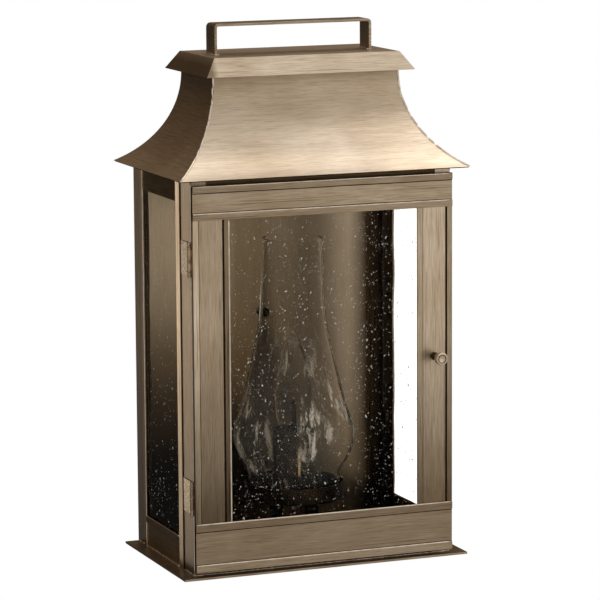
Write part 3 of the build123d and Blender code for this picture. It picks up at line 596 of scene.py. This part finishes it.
def wavy_pane(name, node, thin, body, wave=0.50 * MM, cell=3 * MM):
    """A pane whose two faces ripple a little inward, filling the CAD pane's box. thin is its thin axis."""
    low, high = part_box(node)
    a, b = [k for k in range(3) if k != thin]
    across, up = int((high[a] - low[a]) / cell), int((high[b] - low[b]) / cell)
    shape = bmesh.new()
    grids = []
    for level, inward in ((low[thin], 1), (high[thin], -1)):
        grid = []
        for i in range(across + 1):
            row = []
            for j in range(up + 1):
                spot = Vector((0, 0, 0))
                spot[a] = low[a] + (high[a] - low[a]) * i / across
                spot[b] = low[b] + (high[b] - low[b]) * j / up
                ripple = 0.5 + 0.5 * noise.noise(Vector((spot[a] * 60, spot[b] * 38, level * 900)))
                spot[thin] = level + inward * wave * max(0.0, min(1.0, ripple))
                row.append(shape.verts.new(spot))
            grid.append(row)
        grids.append(grid)
    for grid in grids:
        for i in range(across):
            for j in range(up):
                shape.faces.new((grid[i][j], grid[i + 1][j], grid[i + 1][j + 1], grid[i][j + 1]))
    back, front = grids
    for i in range(across):
        for j in (0, up):
            shape.faces.new((back[i][j], back[i + 1][j], front[i + 1][j], front[i][j]))
    for j in range(up):
        for i in (0, across):
            shape.faces.new((back[i][j], back[i][j + 1], front[i][j + 1], front[i][j]))
    bmesh.ops.recalc_face_normals(shape, faces=shape.faces)
    finish_piece(to_mesh(shape, name), name, SEEDED, body, (node,))


def scatter_seeds(name, node, thin, face, body, count, seed, margin):
    """Small stretched bubbles just under one face of a pane, in loose clusters."""
    dice = random.Random(seed)
    low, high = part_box(node)
    a, b = [k for k in range(3) if k != thin]
    shape = bmesh.new()
    clusters = [(dice.uniform(low[a], high[a]), dice.uniform(low[b], high[b])) for _ in range(count // 14)]
    made = 0
    while made < count:
        if dice.random() < 0.55:
            home = dice.choice(clusters)
            p, q = dice.gauss(home[0], 12 * MM), dice.gauss(home[1], 16 * MM)
        else:
            p, q = dice.uniform(low[a], high[a]), dice.uniform(low[b], high[b])
        if not (low[a] + margin < p < high[a] - margin and low[b] + margin < q < high[b] - margin):
            continue
        size = min(0.85, 0.20 + dice.expovariate(8.5)) * MM
        stretch = dice.choice((1.0, 1.15, 1.4, 2.2))
        spot = Vector((0, 0, 0))
        spot[a], spot[b], spot[thin] = p, q, face
        flat = [size, size, size]
        flat[b], flat[thin] = size * stretch, size * 0.35
        turn = Matrix.Rotation(dice.gauss(0, 0.5), 4, [Vector((1, 0, 0)), Vector((0, 1, 0))][thin])
        place = Matrix.Translation(spot) @ turn @ Matrix.Diagonal((*flat, 1))
        bmesh.ops.create_icosphere(shape, subdivisions=1, radius=1.0, matrix=place)
        made += 1
    finish_piece(to_mesh(shape, name), name, SEEDS, body)


DOOR_THIN, SIDE_THIN = 1, 0                         # the thin axis of each kind of pane
DOOR_SEEDS, SIDE_SEEDS = 2400, 480                  # bubbles in a pane
wavy_pane("door_pane", "door_glass", DOOR_THIN, "door")
scatter_seeds("door_pane_seeds", "door_glass", DOOR_THIN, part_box("door_glass")[0].y, "door",
              DOOR_SEEDS, 11, 9 * MM)
for label in ("left", "right"):
    node = f"side_glass_{label}"
    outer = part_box(node)[0].x if label == "left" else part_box(node)[1].x
    wavy_pane(f"side_pane_{label}", node, SIDE_THIN, "lantern_body")
    scatter_seeds(f"side_pane_seeds_{label}", node, SIDE_THIN, outer, "lantern_body",
                  SIDE_SEEDS, 5 + len(label), 20 * MM)


# ---------- lamp ----------
LAMP = (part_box("glass_chimney")[0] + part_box("glass_chimney")[1]) / 2
CHIMNEY_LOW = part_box("glass_chimney")[0].z
CLEAR = glass("clear_glass", (0.99, 0.99, 0.985), ior=1.05)
STEM = glass("stem_glass", (0.42, 0.34, 0.20), ior=1.08)
# painted highlight: pale streaks on the chimney's glass where light would glint in it
HIGHLIGHTED_GLASS = painted_highlight_glass("painted_highlight_glass", 1.05, CHIMNEY_LOW + 4 * MM, CHIMNEY_LOW + 165 * MM)
# millimetres: the radius and the height over the floor, the wall, and how far the shape keeps inside the box
CHIMNEY_SHAPE = ((44.0, 72.0), (58.0, 106.0), (48.0, 146.0), (38.5, 186.0), (31.5, 225.0), (29.0, 294.0))
CHIMNEY_WALL, CHIMNEY_INSET = 2.0, 0.75


def chimney():
    """The glass chimney, with the slight wobble of blown glass and streaks of painted highlight."""
    floor_mm = FLOOR_Z / MM
    outside = [(CHIMNEY_SHAPE[0][0], CHIMNEY_LOW / MM - floor_mm)] + smooth_profile(CHIMNEY_SHAPE, 14)
    inside = [(r - CHIMNEY_WALL, h) for r, h in reversed(outside)]
    outline = [((r - CHIMNEY_INSET) * MM, (h + floor_mm) * MM) for r, h in outside + inside]
    mesh = lathe("chimney_blown", outline, LAMP, 144, True, 1.0 * MM, (46, 46, 16))
    finish_piece(mesh, "chimney_blown", HIGHLIGHTED_GLASS, "chimney", ("glass_chimney",))


chimney()


LUMPS = 420.0                                       # lumps of solder per metre


def add_tube(shape, path, radius, sides=8, lump=0.0):
    """Adds a round bar along a list of points; lump makes it uneven, as solder is."""
    rings = []
    for n, spot in enumerate(path):
        spot = Vector(spot)
        ahead = Vector(path[min(n + 1, len(path) - 1)]) - Vector(path[max(n - 1, 0)])
        ahead.normalize()
        side = ahead.cross(Vector((0, 0, 1)))
        if side.length < 0.1:
            side = ahead.cross(Vector((1, 0, 0)))
        side.normalize()
        lift = side.cross(ahead)
        size = radius[n] if isinstance(radius, (list, tuple)) else radius
        ring = []
        for k in range(sides):
            angle = 2 * math.pi * k / sides
            out = side * math.cos(angle) + lift * math.sin(angle)
            reach = size
            if lump:
                reach *= 1 + lump * noise.noise((spot + out * size) * LUMPS)
            ring.append(shape.verts.new(spot + out * reach))
        rings.append(ring)
    for a, b in zip(rings, rings[1:]):
        for k in range(sides):
            shape.faces.new((a[k], a[(k + 1) % sides], b[(k + 1) % sides], b[k]))
    shape.faces.new(rings[0])
    shape.faces.new(rings[-1])


def tube_mesh(name, paths, sides=8, lump=0.0):
    """One mesh of several round bars, each a (path, radius)."""
    shape = bmesh.new()
    for path, radius in paths:
        add_tube(shape, path, radius, sides, lump)
    bmesh.ops.recalc_face_normals(shape, faces=shape.faces)
    return to_mesh(shape, name)


def bulb():
    """The bulb: a solid of thin glass, its stem, supports, filament and threaded cap."""
    base_low, base_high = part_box("bulb_base")
    centre = (LAMP.x, LAMP.y)
    z0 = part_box("bulb_glass")[0].z
    shape = ((12.4, 0.0), (14.4, 15.0), (17.2, 41.0), (12.3, 75.0), (5.0, 99.0), (0.0, 109.8))
    outside = [(max(r, 0.0) * MM, z0 + h * MM) for r, h in smooth_profile(shape, 12)]
    finish_piece(lathe("bulb_envelope", outside, centre, 72, False), "bulb_envelope", CLEAR, "lantern_body",
                 ("bulb_glass",))
    stem = [(r * MM, z0 + h * MM) for r, h in ((0, 1), (8, 1), (3, 12), (1.8, 34), (2.6, 38), (0, 40))]
    finish_piece(lathe("bulb_stem", stem, centre, 32, False), "bulb_stem", STEM, "lantern_body")
    wire = plain_metal("filament_wire", (0.30, 0.28, 0.25), (0.12, 0.11, 0.10), 0.3, 300)
    for name, side in (("bulb_support_left", -1), ("bulb_support_right", 1)):
        path = [(centre[0] + side * out * MM, centre[1], z0 + up * MM)
                for out, up in ((2, 30), (6, 44), (6.5, 52))]
        finish_piece(tube_mesh(name, [(path, 0.35 * MM)]), name, wire, "lantern_body")
    steps, span, rise, loop, turn = 60, 13 * MM, 3 * MM, 0.7 * MM, 1.57     # turn is radians a step
    coil = [(centre[0] + (t / steps - 0.5) * span, centre[1] + loop * math.cos(t * turn),
             z0 + 52 * MM + rise * math.sin(math.pi * t / steps) + loop * math.sin(t * turn))
            for t in range(steps + 1)]
    finish_piece(tube_mesh("bulb_filament", [(coil, 0.22 * MM)], 6), "bulb_filament", wire, "lantern_body")
    thread = [(4.5 * MM, base_low.z), (4.5 * MM, base_low.z + 3 * MM), (11.5 * MM, base_low.z + 3.4 * MM)]
    turns, parts, pitch = 7, 8, 3.4                  # of the thread; parts to a turn, pitch in millimetres
    for t in (n / parts for n in range(turns * parts + 1)):
        thread.append(((12.55 + 0.6 * math.cos(2 * math.pi * t)) * MM, base_low.z + (4 + pitch * t) * MM))
    thread += [(12.4 * MM, base_high.z), (0.0, base_high.z), (0.0, base_low.z)]
    finish_piece(lathe("bulb_cap_threaded", thread, centre, 64, False), "bulb_cap_threaded",
                 NODE_MATERIALS["screw_shell"], "lantern_body", ("bulb_base",))


bulb()


# ---------- turned knob ----------
def knob():
    """The turned knob, its neck darkened as painted shadow, with a ring of painted shade in the groove in its
    face.
    """
    low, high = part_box("door_knob")
    middle = (low + high) / 2
    foot = high.y
    outline = [(0, 0), (3.45, 0), (3.5, 0.5), (3.4, 1.2), (2.8, 2.2), (2.5, 3.4), (2.35, 5.0), (2.3, 8.2),
               (2.9, 9.6), (4.6, 10.6), (5.6, 11.4), (6.05, 12.6), (6.05, 15.2), (5.8, 16.3), (5.2, 16.9),
               (4.5, 17.05), (4.0, 16.75), (3.2, 16.1), (1.6, 15.7), (0, 15.6)]
    mesh = lathe("knob_turned", [(r * MM, h * MM) for r, h in smooth_profile(outline, 3)], (0, 0), 64, False)
    mesh.transform(Matrix.Translation((middle.x, foot, middle.z)) @ Matrix.Rotation(math.pi / 2, 4, "X"))
    # painted shadow: the neck darkens towards the door
    turned = brushed_brass("brass_knob", "X", light=(0.98, 0.83, 0.65), dark=(0.62, 0.50, 0.36), painted_shading=[
        (0.10, ("Y", foot - 10.6 * MM, foot - 9.2 * MM))])
    finish_piece(mesh, "knob_turned", turned, "latch", ("door_knob",))
    # a ring of painted shade in the groove of the face
    groove_radius, steps = 3.7 * MM, 48
    ring = [(middle.x + groove_radius * math.cos(t * 2 * math.pi / steps), foot - 16.5 * MM,
             middle.z + groove_radius * math.sin(t * 2 * math.pi / steps)) for t in range(steps + 1)]
    groove = tube_mesh("knob_groove", [(ring, 0.4 * MM)], 6)
    finish_piece(groove, "knob_groove", CREASE_SHADE, "latch")


knob()


# ---------- solder ----------
SOLDER = plain_metal("solder_brass", (0.92, 0.83, 0.70), (0.40, 0.32, 0.23), 0.34, 260)


def bead(start, end, radius, step=1.2 * MM):
    """A run of solder: a lumpy bar with tapering ends."""
    start, end = Vector(start), Vector(end)
    count = max(4, int((end - start).length / step))
    path = [start.lerp(end, n / count) for n in range(count + 1)]
    sizes = [radius * (0.75 + 0.35 * noise.noise(p * 140)) * min(1.0, 0.35 + n / 2, 0.35 + (count - n) / 2)
             for n, p in enumerate(path)]
    return path, sizes


def solder():
    """Beads of solder round the floor and at the handle's feet."""
    body_low, body_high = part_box("front_post_left")[0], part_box("front_post_right")[1]
    rear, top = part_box("rear_post_left")[1].y, FLOOR_Z + 0.2 * MM
    left, right, front = body_low.x + 1.2 * MM, body_high.x - 1.2 * MM, body_low.y
    runs = [bead((left, front, top), (left, rear, top), 1.2 * MM),
            bead((right, front, top), (right, rear, top), 1.2 * MM),
            bead((left, front, top), (right, front, top), 0.8 * MM)]
    finish_piece(tube_mesh("solder_floor", runs, 8, 0.9), "solder_floor", SOLDER, "lantern_body")
    low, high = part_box("carry_handle")
    foot, strap = low.z + 0.1 * MM, 2.5 * MM
    for label, x, inward in (("left", low.x, strap), ("right", high.x, -strap)):
        runs = [bead((face, low.y + 1 * MM, foot), (face, high.y - 1 * MM, foot), 1.3 * MM)
                for face in (x, x + inward)]
        runs.append(bead((x - inward * 0.4, low.y, foot), (x + inward * 2.0, low.y, foot), 1.4 * MM))
        name = f"solder_handle_{label}"
        finish_piece(tube_mesh(name, runs, 8, 1.2), name, SOLDER, "lantern_body")


solder()


# ---------- painted shade in the creases and painted highlights on the edges of the folded sheet ---
# radii of the bars of painted shade and of painted highlight
CREASE, HIGHLIGHT_BAR = 0.75 * MM, 0.72 * MM
STEP = 1.0 * MM                                     # a door hem above its field
NOT_A_HIP = -50 * MM                                # the left hip stays left of this


def line(start, end, radius):
    """A slim bar from one point to another."""
    start, end = Vector(start), Vector(end)
    count = max(2, int((end - start).length / (6 * MM)))
    return [start.lerp(end, n / count) for n in range(count + 1)], radius


def lines(name, runs, material, body):
    """One piece of several bars."""
    finish_piece(tube_mesh(name, runs, 10), name, material, body)


def door_lines():
    """Bars of painted shade in the creases beside the door's hems, and of painted highlight on its edges."""
    creases, highlights = [], []
    for rail, hem in (("door_top_rail", TOP_HEM), ("door_bottom_rail", BOTTOM_HEM)):
        low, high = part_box(rail)
        field, face = low.y + STEP, low.y
        x0, x1 = low.x + 0.6 * MM, high.x - 0.6 * MM
        for z in (low.z + hem, high.z - hem):
            creases.append(line((x0, field, z), (x1, field, z), CREASE * 1.1))
        for y, z in ((face + HIGHLIGHT_BAR * 0.7, low.z + hem - HIGHLIGHT_BAR * 0.4),
                     (face + HIGHLIGHT_BAR * 0.75, high.z - HIGHLIGHT_BAR * 0.7)):
            highlights.append(line((x0, y, z), (x1, y, z), HIGHLIGHT_BAR))
    for label in ("left", "right"):
        low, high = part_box(f"door_stile_{label}")
        field, face = low.y + STEP, low.y
        z0, z1 = low.z, high.z
        for x, radius in ((high.x - STILE_HEM, CREASE * 1.5), (low.x + STILE_HEM, CREASE)):
            creases.append(line((x, field, z0), (x, field, z1), radius))
        if label == "left":
            highlights.append(line((high.x - HIGHLIGHT_BAR * 0.6, face + HIGHLIGHT_BAR * 0.7, z0),
                             (high.x - HIGHLIGHT_BAR * 0.6, face + HIGHLIGHT_BAR * 0.7, z1), HIGHLIGHT_BAR * 1.1))
    lines("door_creases", creases, CREASE_SHADE, "door")
    lines("door_edge_highlights", highlights, EDGE_HIGHLIGHT, "door")


def body_lines():
    """Bars of painted shade in the creases, and of painted highlight on the edges, of the posts and the side
    rails.
    """
    for label, side in (("left", -1), ("right", 1)):
        creases, highlights = [], []
        front, rear, rail = (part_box(f"{part}_{label}") for part in ("front_post", "rear_post", "side_rail"))
        outer = front[0].x if side < 0 else front[1].x
        highlight_x, flat = outer - side * HIGHLIGHT_BAR * 0.75, outer - side * 0.9 * MM
        glass_edge, hem_foot = front[1].y, front[1].y - FRONT_HEM
        rear_edge, rear_foot = rear[0].y, rear[0].y + REAR_HEM
        z0, z1 = front[0].z, front[1].z
        for y, radius in ((hem_foot, CREASE), (rear_foot, CREASE * 0.6)):
            creases.append(line((flat, y, z0), (flat, y, z1), radius))
        for x, y in ((highlight_x, glass_edge - HIGHLIGHT_BAR * 0.5), (highlight_x, hem_foot + HIGHLIGHT_BAR * 0.7),
                     (highlight_x, rear_edge + HIGHLIGHT_BAR * 0.5), (flat - side * HIGHLIGHT_BAR * 0.6, front[0].y + HIGHLIGHT_BAR * 0.6)):
            highlights.append(line((x, y, z0), (x, y, z1), HIGHLIGHT_BAR * 0.8))
        rail_top, rail_foot = rail[1].z, rail[1].z - RAIL_HEM
        creases.append(line((flat, rail[0].y, rail_foot), (flat, rail[1].y, rail_foot), CREASE * 0.7))
        highlights.append(line((highlight_x, rail[0].y, rail_top - HIGHLIGHT_BAR * 0.5),
                         (highlight_x, rail[1].y, rail_top - HIGHLIGHT_BAR * 0.5), HIGHLIGHT_BAR * 0.8))
        lines(f"post_creases_{label}", creases, CREASE_SHADE, "lantern_body")
        lines(f"post_worn_edges_{label}", highlights, EDGE_HIGHLIGHT, "lantern_body")


def sheet_edges():
    """Bars of painted highlight on the floor sheet's top rim and the roof's soldered hips, and of painted
    shade on its lower rim.
    """
    low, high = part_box("base_plate")
    edge = 0.65 * MM
    corners = [(low.x, high.y), (low.x, low.y), (high.x, low.y), (high.x, high.y)]
    rims = []
    for z in (high.z - edge, low.z + edge):
        around = [Vector((min(max(x, low.x + edge), high.x - edge), max(y, low.y + edge), z))
                  for x, y in corners]
        rims.append([line(a, b, 0.6 * MM) for a, b in zip(around, around[1:])])
    lines("floor_sheet_rim", rims[0], EDGE_HIGHLIGHT, "lantern_body")
    lines("floor_sheet_underside", rims[1], CREASE_SHADE, "lantern_body")
    levels = {}                                      # the leftmost spot of the front panel at each height
    for vertex in NODES["roof_front"].data.vertices:
        spot = NODES["roof_front"].matrix_world @ vertex.co
        if spot.x > NOT_A_HIP:
            continue
        level = round(spot.z / (2 * MM))
        if level not in levels or (spot.x, spot.y) < (levels[level].x, levels[level].y):
            levels[level] = spot
    radius = 0.95 * MM
    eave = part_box("roof_front")[0].y + radius
    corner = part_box("roof_left")[0].x + radius
    hip = [Vector((max(levels[level].x + 0.5 * MM, corner), max(levels[level].y, eave), levels[level].z))
           for level in sorted(levels)]
    hips = [([Vector((side * spot.x, spot.y, spot.z)) for spot in hip], radius) for side in (1, -1)]
    lines("roof_hip_edges", hips, EDGE_HIGHLIGHT, "lantern_body")


door_lines()
body_lines()
sheet_edges()
